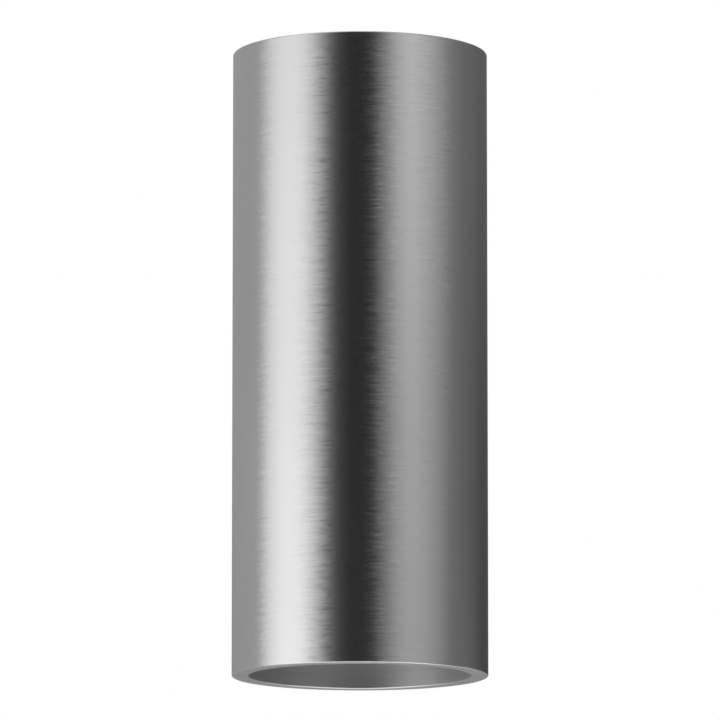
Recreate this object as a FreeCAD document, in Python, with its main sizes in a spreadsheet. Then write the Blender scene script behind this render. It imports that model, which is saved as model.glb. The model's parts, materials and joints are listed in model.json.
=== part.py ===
"""Tube wall light: a thick brushed-steel tube, open at both ends, that throws light up and down a wall.

The frame, in millimetres: the wall is the plane y = 0, the room is on its -Y side, +Z is up, and the origin
is the centre of the two wall screws. A shallow steel box sits on the wall, a saddle on the box carries the
tube, and each end of the tube holds a reflector lamp in a twist-lock lampholder, behind a glass that a
screwed ring clamps. The upper end is the lower end turned half round about the y axis.
"""

import FreeCAD
import Part
import Sketcher

import math
import os

from FreeCAD import Placement, Rotation, Vector

# ---------------------------------------------------------------------------------------------------------
# Driving dimensions, in millimetres and degrees. Every other size and place is worked out from these.
# ---------------------------------------------------------------------------------------------------------
SIZES = {
    # Tube
    "tube_wall": 4.25,
    "tube_length": 160.0,
    "rim_round": 0.4,
    # Box on the wall, with its seal
    "box_width": 50.0,
    "box_height": 96.0,
    "box_depth": 28.0,
    "box_wall": 1.5,
    "box_corner": 7.0,
    "box_front_round": 2.0,
    "wall_seal_height": 2.0,
    "wall_seal_overhang": 0.3,
    # Saddle between box and tube, with a thin seal on each side
    "saddle_width": 36.0,
    "saddle_length": 82.0,
    "saddle_land": 3.0,
    "saddle_corner": 3.0,
    "saddle_seal": 1.0,
    # Wall bracket
    "bracket_sheet": 1.5,
    "bracket_leg_width": 22.0,
    "bracket_end_gap": 2.2,
    "bracket_arm_width": 20.0,
    "bracket_tab_reach": 18.0,
    "bracket_tab_gap": 0.5,
    "bracket_corner": 4.0,
    "wall_screw_spacing": 54.0,
    "wall_slot_width": 5.0,
    "wall_slot_length": 12.0,
    # Bushes: the one that the supply cable enters by, and the one that the wires leave the box by
    "cable_bore": 10.0,
    "cable_bush_wall": 2.0,
    "cable_bush_lip": 2.5,
    "cable_bush_head": 1.7,
    "wire_bore": 13.0,
    "wire_bush_wall": 1.0,
    "wire_bush_lip": 2.0,
    "wire_bush_head": 1.2,
    "wire_bush_past_tube": 0.5,
    # Screws and nuts
    "m4_thread": 4.0,
    "m4_head": 8.0,
    "m4_head_height": 2.6,
    "m4_socket": 2.5,
    "m4_nut_flats": 7.0,
    "m4_nut_height": 3.2,
    "m4_past_nut": 1.3,
    "m3_thread": 3.0,
    "m3_head": 5.6,
    "m3_head_height": 2.2,
    "m3_socket": 2.0,
    "m3_nut_flats": 5.5,
    "m3_nut_height": 2.4,
    "m3_past_nut": 0.1,
    "socket_depth": 1.4,
    "screw_hole_play": 0.25,
    "edge_break": 0.3,
    "side_screw_out": 11.0,
    "body_screw_spacing": 68.0,
    "body_washer_diameter": 9.0,
    "body_washer_height": 1.0,
    # Seat ring, glass, gasket and retaining ring of each end
    "ring_recess": 7.0,
    "ring_height": 3.0,
    "ring_width": 2.65,
    "ring_eye_bevel": 0.6,
    "ring_notch_width": 3.0,
    "ring_notch_depth": 1.2,
    "ring_notch_count": 4,
    "thread_play": 0.1,
    "seat_wall": 1.0,
    "seat_ledge": 1.5,
    "seat_land": 2.5,
    "glass_height": 3.0,
    "gasket_lip": 0.7,
    "gasket_lip_width": 1.2,
    "gasket_wall": 0.8,
    "gasket_play": 0.25,
    # Lamp
    "lamp_face_gap": 1.0,
    "lamp_side_gap": 0.75,
    "lamp_diameter": 50.0,
    "lamp_height": 43.7,
    "lamp_rim_height": 2.6,
    "lamp_rim_wall": 1.2,
    "lamp_flare_radius": 45.0,
    "lamp_neck": 28.0,
    "lamp_floor": 2.5,
    "lamp_driver_bore": 22.0,
    "lamp_base_diameter": 24.0,
    "lamp_base_height": 10.0,
    "lamp_base_plug": 4.0,
    "lens_inset": 0.5,
    "lens_height": 1.8,
    "reflector_depth": 14.0,
    "led_board_diameter": 34.0,
    "led_board_height": 1.2,
    "led_board_margin": 0.6,
    # Lamp pins and the lampholder that they lock into
    "pin_spacing": 10.0,
    "pin_length": 7.3,
    "pin_stem": 3.1,
    "pin_head": 5.0,
    "pin_head_height": 2.0,
    "pin_root": 3.0,
    "pin_play": 0.25,
    "pin_well_play": 0.4,
    "base_play": 0.1,
    "lock_angle": 20.0,
    "holder_width": 17.5,
    "holder_length": 31.0,
    "holder_height": 15.0,
    "holder_corner": 4.0,
    "holder_lip": 5.0,
    "holder_well": 4.0,
    "holder_screw_spacing": 22.6,
    "holder_screw_sink": 3.0,
    "holder_sink_play": 0.3,
    # Contacts in the lampholder
    "contact_gap": 0.1,
    "contact_sheet": 0.5,
    "contact_width": 4.8,
    "contact_play": 0.1,
    "crimp_diameter": 3.0,
    "crimp_length": 3.5,
    "crimp_sink": 2.0,
    # Lampholder brackets
    "shelf_sheet": 1.5,
    "shelf_width": 22.0,
    "shelf_reach": 16.0,
    "shelf_corner": 4.0,
    "shelf_wire_hole": 16.0,
    "shelf_leg_end": 39.5,
    "slip_fit": 0.02,
    # Wires
    "wire_diameter": 1.7,
    "wire_bend": 3.0,
    "wire_side": 4.6,
    "wire_level": 2.0,
    "wire_in_crimp": 3.0,
    "wire_in_clamp": 6.0,
    "wire_pair_gap": 0.1,
    "wire_past_bush": 2.0,
    # Terminal block
    "block_up": 18.5,
    "pole_pitch": 8.0,
    "pole_length": 16.0,
    "pole_diameter": 7.4,
    "pole_out": 6.0,
    "tower_width": 5.6,
    "tower_height": 12.0,
    "tower_length": 13.0,
    "block_base_height": 4.0,
    "block_base_length": 10.0,
    "block_ear": 15.0,
    "block_ear_margin": 3.0,
    "block_screw_tip_gap": 0.5,
    "standoff_height": 2.5,
    "standoff_diameter": 5.0,
    "clamp_diameter": 5.4,
    "clamp_bore": 3.8,
    "clamp_length": 13.6,
    "clamp_screw": 2.8,
    "clamp_screw_spacing": 8.0,
    "clamp_screw_length": 3.4,
    "clamp_slot_width": 0.6,
    "clamp_slot_depth": 0.8,
    # Earth stud and its lug
    "earth_down": 20.5,
    "earth_stud_length": 9.0,
    "earth_washer_diameter": 8.6,
    "earth_washer_height": 0.8,
    "lug_sheet": 0.8,
    "lug_diameter": 8.0,
    "lug_neck_width": 3.4,
    "lug_crimp_start": 4.5,
    "lug_crimp_length": 5.0,
    "earth_wire_rise": 4.0,
    "earth_wire_slope": 10.0,
}

X, Y, Z = Vector(1, 0, 0), Vector(0, 1, 0), Vector(0, 0, 1)
ORIGIN = (0, 0, 0)
FULL_TURN = 360
TINY = 1e-4

# How a piece or a feature is turned, by the way that its own +Z then points. An upper end piece also keeps
# its own +Y pointing at the wall.
TURNS = {
    "+Z": Rotation(),
    "-Z": Rotation(X, 180),
    "+Y": Rotation(X, -90),
    "-Y": Rotation(X, 90),
    "+X": Rotation(Y, 90),
    "-X": Rotation(Y, -90),
    "lower": Rotation(),
    "upper": Rotation(Y, 180),
}

doc = FreeCAD.newDocument("tube_wall_light")
sheet = doc.addObject("Spreadsheet::Sheet", "Sizes")
for row, (alias, number) in enumerate(SIZES.items(), start=1):
    sheet.set(f"A{row}", alias)
    sheet.set(f"B{row}", str(number))
    sheet.setAlias(f"B{row}", alias)
doc.recompute()


# ---------------------------------------------------------------------------------------------------------
# Sizes as expressions on the sheet
# ---------------------------------------------------------------------------------------------------------
class Size:
    """A size as an expression on the sheet. Sums and products of sizes are sizes too."""

    def __init__(self, text):
        self.text = str(text)

    @property
    def value(self):
        return float(sheet.evalExpression(self.text))

    def __add__(self, other):
        return Size(f"({self.text} + {as_size(other).text})")

    def __radd__(self, other):
        return as_size(other) + self

    def __sub__(self, other):
        return Size(f"({self.text} - {as_size(other).text})")

    def __rsub__(self, other):
        return as_size(other) - self

    def __mul__(self, other):
        return Size(f"({self.text} * {as_size(other).text})")

    def __rmul__(self, other):
        return as_size(other) * self

    def __truediv__(self, other):
        return Size(f"({self.text} / {as_size(other).text})")

    def __neg__(self):
        return Size(f"(0 - {self.text})")


class Cells:
    """Gives each cell of the sheet by its alias."""

    def __getattr__(self, alias):
        return Size(f"Sizes.{alias}")


def as_size(number):
    return number if isinstance(number, Size) else Size(number)


def value_of(number):
    return as_size(number).value


def root(size):
    return Size(f"sqrt({size.text})")


def cosine(angle):
    return Size(f"cos({angle.text} * 1 deg)")


def sine(angle):
    return Size(f"sin({angle.text} * 1 deg)")


def chord_height(radius, half_chord):
    """How far from a circle's centre its chord of that half length lies."""
    return root(radius * radius - half_chord * half_chord)


s = Cells()

# ---------------------------------------------------------------------------------------------------------
# Sizes and places that several pieces share
# ---------------------------------------------------------------------------------------------------------
seat_eye = s.lamp_diameter / 2 + s.lamp_side_gap
thread_radius = seat_eye + s.seat_ledge
bore_radius = thread_radius + s.seat_wall
tube_radius = bore_radius + s.tube_wall
half_tube = s.tube_length / 2

# Distances out from the wall, along -Y
box_front = s.wall_seal_height + s.box_depth
box_floor = box_front - s.box_wall
saddle_back = box_front + s.saddle_seal
tube_back = saddle_back + s.saddle_land + s.saddle_seal
axis_out = tube_back + tube_radius

# Distances into the tube from a rim
gasket_start = s.ring_recess + s.ring_height
seat_shoulder = gasket_start + s.glass_height + 2 * s.gasket_lip
seat_end = seat_shoulder + s.seat_land
lamp_face = seat_shoulder + s.lamp_face_gap
holder_face = lamp_face + s.lamp_height + s.base_play
holder_back = holder_face + s.holder_height
shelf_inside = holder_back + s.shelf_sheet
crimp_end = holder_back - s.crimp_sink
crimp_start = crimp_end - s.crimp_length

# Distances from the tube's axis towards the wall
leg_back = chord_height(bore_radius, s.shelf_width / 2) - s.slip_fit
leg_front = leg_back - s.shelf_sheet
saddle_radius = tube_radius + s.saddle_seal
contact_front = s.pin_head / 2 + s.contact_gap
crimp_side = contact_front + s.contact_sheet / 2 + s.crimp_diameter / 2

# Radii
ring_radius = thread_radius - s.thread_play
ring_eye = ring_radius - s.ring_width
gasket_radius = thread_radius - s.gasket_play
glass_radius = gasket_radius - s.gasket_wall
lens_radius = s.lamp_diameter / 2 - s.lamp_rim_wall
m4_hole = s.m4_thread / 2 + s.screw_hole_play
m3_hole = s.m3_thread / 2 + s.screw_hole_play
wire_radius = s.wire_diameter / 2
wire_bush_radius = s.wire_bore / 2 + s.wire_bush_wall
cable_bush_radius = s.cable_bore / 2 + s.cable_bush_wall

# The terminal block's own heights, out from the wall
block_foot = box_floor - s.standoff_height
block_base_top = block_foot - s.block_base_height
pole_centre = block_foot - s.pole_out
block_bottom = s.block_up - s.pole_length / 2

# The wall seal, the bracket's tabs inside it, and the box sides that the tabs stand against
wall_seal_width = s.box_wall + s.wall_seal_overhang
box_inside = s.box_width / 2 - s.box_wall
tab_outside = box_inside - s.bracket_tab_gap
tab_inside = tab_outside - s.bracket_sheet

NODES = []


# ---------------------------------------------------------------------------------------------------------
# Helpers
# ---------------------------------------------------------------------------------------------------------
def bind(thing, name, size):
    """Ties one property of a feature to its expression on the sheet."""
    thing.setExpression(name, as_size(size).text)


def place(thing, at, turn):
    thing.Placement = Placement(Vector(*[value_of(a) for a in at]), turn)
    for axis, size in zip("xyz", at):
        if isinstance(size, Size):
            bind(thing, f"Placement.Base.{axis}", size)


def spot(end, x, y, depth):
    """A place in one end of the tube: y towards the wall from the tube's axis, depth into it from the rim."""
    side = 1 if end == "lower" else -1
    return (side * x, y - axis_out, side * (depth - half_tube))


def origin_part(body, role):
    return next(f for f in body.Origin.OriginFeatures if f.Role == role)


def arc_between(start, end, radius):
    """The short arc between two points, to the left of the way from start to end where radius is positive."""
    chord = end - start
    rise = math.sqrt(radius * radius - chord.Length * chord.Length / 4)
    left = Vector(-chord.y, chord.x, 0).normalize()
    centre = (start + end) / 2 + left * math.copysign(rise, radius)
    first, last = (start, end) if radius > 0 else (end, start)
    angles = [math.atan2(p.y - centre.y, p.x - centre.x) for p in (first, last)]
    if angles[1] < angles[0]:
        angles[1] += 2 * math.pi
    return Part.ArcOfCircle(Part.Circle(centre, Z, abs(radius)), *angles)


def draw_outline(sketch, points):
    """Draws a closed outline, held by the sheet. A point is (x, y), or (x, y, radius) where an arc reaches
    it: the arc turns left on the way there where its radius is positive, and right where it is negative."""
    places = [Vector(value_of(p[0]), value_of(p[1]), 0) for p in points]
    starts, ends = [], []
    for i, start in enumerate(places):
        following = (i + 1) % len(points)
        end = places[following]
        if len(points[following]) == 2:
            edge = sketch.addGeometry(Part.LineSegment(start, end))
            forward = True
        else:
            radius = points[following][2]
            edge = sketch.addGeometry(arc_between(start, end, value_of(radius)))
            forward = value_of(radius) > 0
            held = sketch.addConstraint(Sketcher.Constraint("Radius", edge, abs(value_of(radius))))
            bind(sketch, f"Constraints[{held}]", radius if forward else -radius)
        starts.append((edge, 1 if forward else 2))
        ends.append((edge, 2 if forward else 1))
    for i, point in enumerate(points):
        sketch.addConstraint(Sketcher.Constraint("Coincident", *ends[i - 1], *starts[i]))
        for kind, axis, size in (("DistanceX", -2, point[0]), ("DistanceY", -1, point[1])):
            if isinstance(size, Size):
                held = sketch.addConstraint(Sketcher.Constraint(kind, -1, 1, *starts[i], size.value))
                bind(sketch, f"Constraints[{held}]", size)
            else:
                sketch.addConstraint(Sketcher.Constraint("PointOnObject", *starts[i], axis))


class Piece:
    """One solid, made feature by feature in its own frame, which stands turned in the light's frame."""

    def __init__(self, name, at=ORIGIN, turn="+Z", spin=0):
        self.body = doc.addObject("PartDesign::Body", name)
        self.body.Label = name
        place(self.body, at, TURNS[turn] * Rotation(Z, spin))

    def _feature(self, kind):
        return self.body.newObject(f"PartDesign::{kind}", f"{self.body.Name}_{kind}")

    def _primitive(self, shape, cuts, at, turn, sizes):
        feature = self._feature(("Subtractive" if cuts else "Additive") + shape)
        for name, size in sizes.items():
            bind(feature, name, size)
        place(feature, at, TURNS[turn])

    def box(self, sizes, centre, cuts=False):
        low = [as_size(c) - size / 2 for c, size in zip(centre, sizes)]
        self._primitive("Box", cuts, low, "+Z", dict(zip(("Length", "Width", "Height"), sizes)))
        return self

    def cut_box(self, sizes, centre):
        return self.box(sizes, centre, cuts=True)

    def rod(self, radius, length, at=ORIGIN, turn="+Z", cuts=False):
        self._primitive("Cylinder", cuts, at, turn, {"Radius": radius, "Height": length})
        return self

    def drill(self, radius, length, at=ORIGIN, turn="+Z"):
        return self.rod(radius, length, at, turn, cuts=True)

    def hexagon(self, flats, length, at=ORIGIN, cuts=False):
        sizes = {"Circumradius": flats / root(as_size(3)), "Height": length}
        self._primitive("Prism", cuts, at, "+Z", sizes)
        return self

    def _outline(self, plane, points, out):
        sketch = self.body.newObject("Sketcher::SketchObject", f"{self.body.Name}_outline")
        sketch.AttachmentSupport = [(origin_part(self.body, plane), "")]
        sketch.MapMode = "FlatFace"
        bind(sketch, "AttachmentOffset.Base.z", out)
        draw_outline(sketch, points)
        return sketch

    def turned(self, points):
        """Turns an outline of (radius, z) points round the z axis."""
        sketch = self._outline("XZ_Plane", points, 0)
        feature = self._feature("Revolution")
        feature.Profile = sketch
        feature.ReferenceAxis = (sketch, ["V_Axis"])
        feature.Angle = FULL_TURN
        return self

    def pad(self, plane, points, thickness, out=0):
        """Gives an outline a thickness, along its plane's normal, from that far out along the normal."""
        sketch = self._outline(plane, points, out)
        feature = self._feature("Pad")
        feature.Profile = sketch
        bind(feature, "Length", thickness)
        return self

    def pocket(self, plane, points, depth, out=0):
        """Cuts an outline out to a depth, along its plane's normal, from that far out along the normal."""
        sketch = self._outline(plane, points, out)
        feature = self._feature("Pocket")
        feature.Profile = sketch
        feature.Reversed = True
        bind(feature, "Length", depth)
        return self

    def _edged(self, kind, name, size, picks):
        doc.recompute()
        base = self.body.Tip
        edges = [f"Edge{i}" for i, edge in enumerate(base.Shape.Edges, start=1) if picks(edge)]
        feature = self._feature(kind)
        feature.Base = (base, edges)
        bind(feature, name, size)
        return self

    def fillet(self, radius, picks):
        return self._edged("Fillet", "Radius", radius, picks)

    def chamfer(self, size, picks):
        return self._edged("Chamfer", "Size", size, picks)

    def repeat(self, count, features=1):
        """Repeats the last features evenly round the z axis."""
        pattern = self._feature("PolarPattern")
        made = [f for f in self.body.Group if f.isDerivedFrom("PartDesign::Feature") and f is not pattern]
        pattern.Originals = made[-features:]
        pattern.Axis = (origin_part(self.body, "Z_Axis"), [""])
        pattern.Angle = FULL_TURN
        bind(pattern, "Occurrences", count)
        self.body.Tip = pattern
        return self

    def keep(self):
        """Makes the piece a node of its own."""
        NODES.append(self.body)


def keep_together(name, pieces):
    """Makes like pieces one node, as separate solids."""
    together = doc.addObject("Part::Compound", name)
    together.Label = name
    together.Links = [piece.body for piece in pieces]
    NODES.append(together)


def along(axis):
    """Picks the straight edges that run along an axis."""

    def picks(edge):
        if not isinstance(edge.Curve, Part.Line):
            return False
        return abs(abs(edge.tangentAt(edge.FirstParameter).dot(axis)) - 1) < TINY

    return picks


def lying_at(axis, *distances):
    """Picks the edges that lie wholly in a plane at one of those distances along an axis."""
    levels = [value_of(distance) for distance in distances]

    def picks(edge):
        box = edge.BoundBox
        low = Vector(box.XMin, box.YMin, box.ZMin).dot(axis)
        high = Vector(box.XMax, box.YMax, box.ZMax).dot(axis)
        return any(abs(low - level) < TINY and abs(high - level) < TINY for level in levels)

    return picks


def both(first, second):
    return lambda edge: first(edge) and second(edge)


def rounded_rectangle(width, length, corner):
    """A rectangle with round corners, centred, as outline points."""
    w, l = width / 2, length / 2
    return [
        (corner - w, -l, corner),
        (w - corner, -l),
        (w, corner - l, corner),
        (w, l - corner),
        (w - corner, l, corner),
        (corner - w, l),
        (-w, l - corner, corner),
        (-w, corner - l),
    ]


# ---------------------------------------------------------------------------------------------------------
# Screws, nuts and washers. Each stands at its own seat, with its shank along its own +Z.
# ---------------------------------------------------------------------------------------------------------
def socket_screw(name, size, length, at, turn):
    """A domed screw with a hexagon socket, standing with the underside of its head at its own origin."""
    thread, head, height, socket = (
        getattr(s, f"{size}_{what}") for what in ("thread", "head", "head_height", "socket")
    )
    edge = height / 3
    rise = height - edge
    dome = (head * head / 4 + rise * rise) / (2 * rise)
    screw = Piece(name, at, turn)
    screw.turned([
        (0, -height),
        (head / 2, -edge, dome),
        (head / 2, 0),
        (thread / 2, 0),
        (thread / 2, length - s.edge_break),
        (thread / 2 - s.edge_break, length),
        (0, length),
    ])
    screw.hexagon(socket, s.socket_depth, at=(0, 0, -height), cuts=True)
    return screw


def hexagon_nut(name, size, at, turn):
    """A nut, standing on its own origin."""
    thread, flats, height = (getattr(s, f"{size}_{what}") for what in ("thread", "nut_flats", "nut_height"))
    nut = Piece(name, at, turn)
    nut.hexagon(flats, height)
    nut.drill(thread / 2, height)
    return nut


def flat_ring(name, outer, inner, height, at, turn):
    """A flat ring, standing on its own origin."""
    ring = Piece(name, at, turn)
    ring.rod(outer, height)
    ring.drill(inner, height)
    return ring


# ---------------------------------------------------------------------------------------------------------
# Tube, saddle and the seals between them
# ---------------------------------------------------------------------------------------------------------
def drill_body_holes(piece, length, start):
    """Drills the holes that the body screws and the wire bush pass, from a y of start away from the wall."""
    for side in (1, -1):
        piece.drill(m4_hole, length, at=(0, start, side * s.body_screw_spacing / 2), turn="-Y")
    piece.drill(wire_bush_radius, length, at=(0, start, 0), turn="-Y")


def make_tube():
    tube = Piece("tube", at=(0, -axis_out, 0))
    tube.turned([
        (bore_radius, -half_tube),
        (tube_radius, -half_tube),
        (tube_radius, half_tube),
        (bore_radius, half_tube),
    ])
    tube.fillet(s.rim_round, lying_at(Z, half_tube, -half_tube))
    drill_body_holes(tube, tube_radius, start=tube_radius)
    tube.keep()


def make_saddle():
    saddle = Piece("saddle")
    edge_out = axis_out - chord_height(saddle_radius, s.saddle_width / 2)
    depth = edge_out - saddle_back
    saddle.box((s.saddle_width, depth, s.saddle_length), (0, -saddle_back - depth / 2, 0))
    saddle.fillet(s.saddle_corner, along(Y))
    saddle.drill(saddle_radius, s.saddle_length, at=(0, -axis_out, -s.saddle_length / 2))
    drill_body_holes(saddle, depth, start=-saddle_back)
    saddle.keep()


def make_saddle_seals():
    front = Piece("saddle_seal_front", at=(0, -axis_out, 0))
    half_width = s.saddle_width / 2
    inner = chord_height(tube_radius, half_width)
    outer = chord_height(saddle_radius, half_width)
    beyond = saddle_radius + s.saddle_seal
    front.box((s.saddle_width, beyond - inner, s.saddle_length), (0, (beyond + inner) / 2, 0))
    front.fillet(s.saddle_corner, along(Y))
    front.drill(tube_radius, s.saddle_length, at=(0, 0, -s.saddle_length / 2))
    outside = [
        (half_width, outer, -saddle_radius),
        (half_width, beyond),
        (-half_width, beyond),
        (-half_width, outer),
    ]
    front.pocket("XY_Plane", outside, s.saddle_length, out=-s.saddle_length / 2)
    drill_body_holes(front, tube_radius, start=saddle_radius)
    front.keep()

    rear = Piece("saddle_seal_rear")
    outline = rounded_rectangle(s.saddle_width, s.saddle_length, s.saddle_corner)
    rear.pad("XZ_Plane", outline, s.saddle_seal, out=box_front)
    drill_body_holes(rear, s.saddle_seal, start=-box_front)
    rear.keep()


# ---------------------------------------------------------------------------------------------------------
# Box, its seal and the bracket on the wall
# ---------------------------------------------------------------------------------------------------------
def make_wall_box():
    box = Piece("wall_box")
    box.pad("XZ_Plane", rounded_rectangle(s.box_width, s.box_height, s.box_corner), s.box_depth,
            out=s.wall_seal_height)
    box.fillet(s.box_front_round, lying_at(Y, -box_front))
    hollow = rounded_rectangle(s.box_width - 2 * s.box_wall, s.box_height - 2 * s.box_wall,
                               s.box_corner - s.box_wall)
    box.pocket("XZ_Plane", hollow, s.box_depth - s.box_wall, out=s.wall_seal_height)
    drill_body_holes(box, s.box_wall, start=-box_floor)
    for turn, side in (("+X", 1), ("-X", -1)):
        box.drill(m4_hole, s.box_wall, at=(side * box_inside, -s.side_screw_out, 0), turn=turn)
    box.keep()


def make_wall_seal():
    seal = Piece("wall_seal")
    seal.pad("XZ_Plane", rounded_rectangle(s.box_width, s.box_height, s.box_corner), s.wall_seal_height)
    inside = rounded_rectangle(s.box_width - 2 * wall_seal_width, s.box_height - 2 * wall_seal_width,
                               s.box_corner - wall_seal_width)
    seal.pocket("XZ_Plane", inside, s.wall_seal_height)
    seal.keep()


def make_wall_bracket():
    """A cross of sheet steel. Its leg takes the wall screws, and the tabs on its arms the side screws."""
    bracket = Piece("wall_bracket")
    leg_length = s.box_height - 2 * (wall_seal_width + s.bracket_end_gap)
    leg = rounded_rectangle(s.bracket_leg_width, leg_length, s.bracket_corner)
    bracket.pad("XZ_Plane", leg, s.bracket_sheet)
    middle = -s.bracket_sheet / 2
    bracket.box((2 * tab_outside, s.bracket_sheet, s.bracket_arm_width), (0, middle, 0))
    for side in (1, -1):
        tab_middle = side * (tab_outside - s.bracket_sheet / 2)
        tab = (s.bracket_sheet, s.bracket_tab_reach, s.bracket_arm_width)
        bracket.box(tab, (tab_middle, -s.bracket_tab_reach / 2, 0))
    bracket.fillet(s.bracket_corner, both(along(X), lying_at(Y, -s.bracket_tab_reach)))
    bracket.drill(cable_bush_radius, s.bracket_sheet, turn="-Y")
    for turn, side in (("+X", 1), ("-X", -1)):
        bracket.drill(m4_hole, s.bracket_sheet, at=(side * tab_inside, -s.side_screw_out, 0), turn=turn)
        straight = s.wall_slot_length - s.wall_slot_width
        slot_at = side * s.wall_screw_spacing / 2
        for end in (1, -1):
            hole_at = (0, 0, slot_at + end * straight / 2)
            bracket.drill(s.wall_slot_width / 2, s.bracket_sheet, at=hole_at, turn="-Y")
        bracket.cut_box((s.wall_slot_width, s.bracket_sheet, straight), (0, middle, slot_at))
    bracket.keep()


def make_side_fixings():
    nuts, screws = [], []
    length = s.box_wall + s.bracket_tab_gap + s.bracket_sheet + s.m4_nut_height + s.m4_past_nut
    for turn, inward, side in (("+X", "-X", 1), ("-X", "+X", -1)):
        nut_at = (side * tab_inside, -s.side_screw_out, 0)
        nuts.append(hexagon_nut("bracket_nut", "m4", nut_at, inward))
        screw_at = (side * s.box_width / 2, -s.side_screw_out, 0)
        screws.append(socket_screw("side_screw", "m4", length, screw_at, inward))
    keep_together("bracket_nuts", nuts)
    keep_together("side_screws", screws)


def make_body_fixings():
    """The screws that hold box, saddle, tube and lampholder brackets together, from inside the box."""
    washers, screws, nuts = [], [], []
    seat_out = box_floor - s.body_washer_height
    nut_out = axis_out - leg_front
    length = nut_out + s.m4_nut_height + s.m4_past_nut - seat_out
    for side in (1, -1):
        up = side * s.body_screw_spacing / 2
        washers.append(flat_ring("body_washer", s.body_washer_diameter / 2, m4_hole, s.body_washer_height,
                                 (0, -box_floor, up), "+Y"))
        screws.append(socket_screw("body_screw", "m4", length, (0, -seat_out, up), "-Y"))
        nuts.append(hexagon_nut("shelf_nut", "m4", (0, -nut_out, up), "-Y"))
    keep_together("body_washers", washers)
    keep_together("body_screws", screws)
    keep_together("shelf_nuts", nuts)


def headed_bush(name, bore, radius, lip, head, length, at, turn):
    """A rubber bush, standing with the underside of its head at its own origin and its body along +Z."""
    bush = Piece(name, at, turn)
    bush.turned([
        (bore, -head),
        (radius + lip, -head),
        (radius + lip, 0),
        (radius, 0),
        (radius, length),
        (bore, length),
    ])
    bush.keep()


def make_bushes():
    headed_bush("cable_bush", s.cable_bore / 2, cable_bush_radius, s.cable_bush_lip, s.cable_bush_head,
                s.bracket_sheet, (0, -s.bracket_sheet, 0), "+Y")
    through = tube_back + s.tube_wall + s.wire_bush_past_tube - box_floor
    headed_bush("wire_bush", s.wire_bore / 2, wire_bush_radius, s.wire_bush_lip, s.wire_bush_head,
                through, (0, -box_floor, 0), "-Y")


# ---------------------------------------------------------------------------------------------------------
# Terminal block and earth stud, inside the box. Their screws face the wall, where the box is open.
# ---------------------------------------------------------------------------------------------------------
POLES = {"live": -1, "earth": 0, "neutral": 1}


def pole_at(name):
    return as_size(POLES[name]) * s.pole_pitch


def clamp_screw_places():
    for pole in POLES:
        for side in (1, -1):
            yield pole_at(pole), s.block_up + side * s.clamp_screw_spacing / 2


def make_terminal_block():
    block = Piece("terminal_block")
    ears = 2 * (s.block_ear + s.block_ear_margin)
    block.box((ears, s.block_base_height, s.block_base_length),
              (0, -block_base_top - s.block_base_height / 2, s.block_up))
    tower_middle = pole_centre - (s.tower_height - s.pole_out) / 2
    for pole in POLES:
        block.rod(s.pole_diameter / 2, s.pole_length, at=(pole_at(pole), -pole_centre, block_bottom))
        block.box((s.tower_width, s.tower_height - s.pole_out, s.tower_length),
                  (pole_at(pole), -tower_middle, s.block_up))
    for pole in POLES:
        block.drill(s.clamp_diameter / 2, s.pole_length, at=(pole_at(pole), -pole_centre, block_bottom))
    for across, up in clamp_screw_places():
        block.drill(s.clamp_screw / 2 + s.screw_hole_play, s.tower_height - s.pole_out,
                    at=(across, -pole_centre, up), turn="+Y")
    for side in (1, -1):
        block.drill(m3_hole, s.block_base_height, at=(side * s.block_ear, -block_base_top, s.block_up),
                    turn="-Y")
    block.keep()


def make_terminal_clamps():
    clamps = []
    for pole in POLES:
        clamp = Piece("terminal_clamp", at=(pole_at(pole), -pole_centre, s.block_up - s.clamp_length / 2))
        clamp.rod(s.clamp_diameter / 2, s.clamp_length)
        clamp.drill(s.clamp_bore / 2, s.clamp_length)
        for side in (1, -1):
            up = s.clamp_length / 2 + side * s.clamp_screw_spacing / 2
            clamp.drill(s.clamp_screw / 2, s.clamp_diameter / 2, at=(0, 0, up), turn="+Y")
        clamps.append(clamp)
    keep_together("terminal_clamps", clamps)


def make_terminal_screws():
    screws = []
    for across, up in clamp_screw_places():
        screw = Piece("terminal_screw", at=(across, s.clamp_bore / 2 - pole_centre, up), turn="+Y")
        screw.rod(s.clamp_screw / 2, s.clamp_screw_length)
        screw.cut_box((s.clamp_screw, s.clamp_slot_width, s.clamp_slot_depth),
                      (0, 0, s.clamp_screw_length - s.clamp_slot_depth / 2))
        screws.append(screw)
    keep_together("terminal_screws", screws)


def make_block_fixings():
    standoffs, screws = [], []
    length = s.block_base_height + s.standoff_height - s.block_screw_tip_gap
    for side in (1, -1):
        across = side * s.block_ear
        standoffs.append(flat_ring("block_standoff", s.standoff_diameter / 2, s.m3_thread / 2,
                                   s.standoff_height, (across, -box_floor, s.block_up), "+Y"))
        screws.append(socket_screw("block_screw", "m3", length, (across, -block_base_top, s.block_up), "-Y"))
    keep_together("block_standoffs", standoffs)
    keep_together("block_screws", screws)


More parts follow.
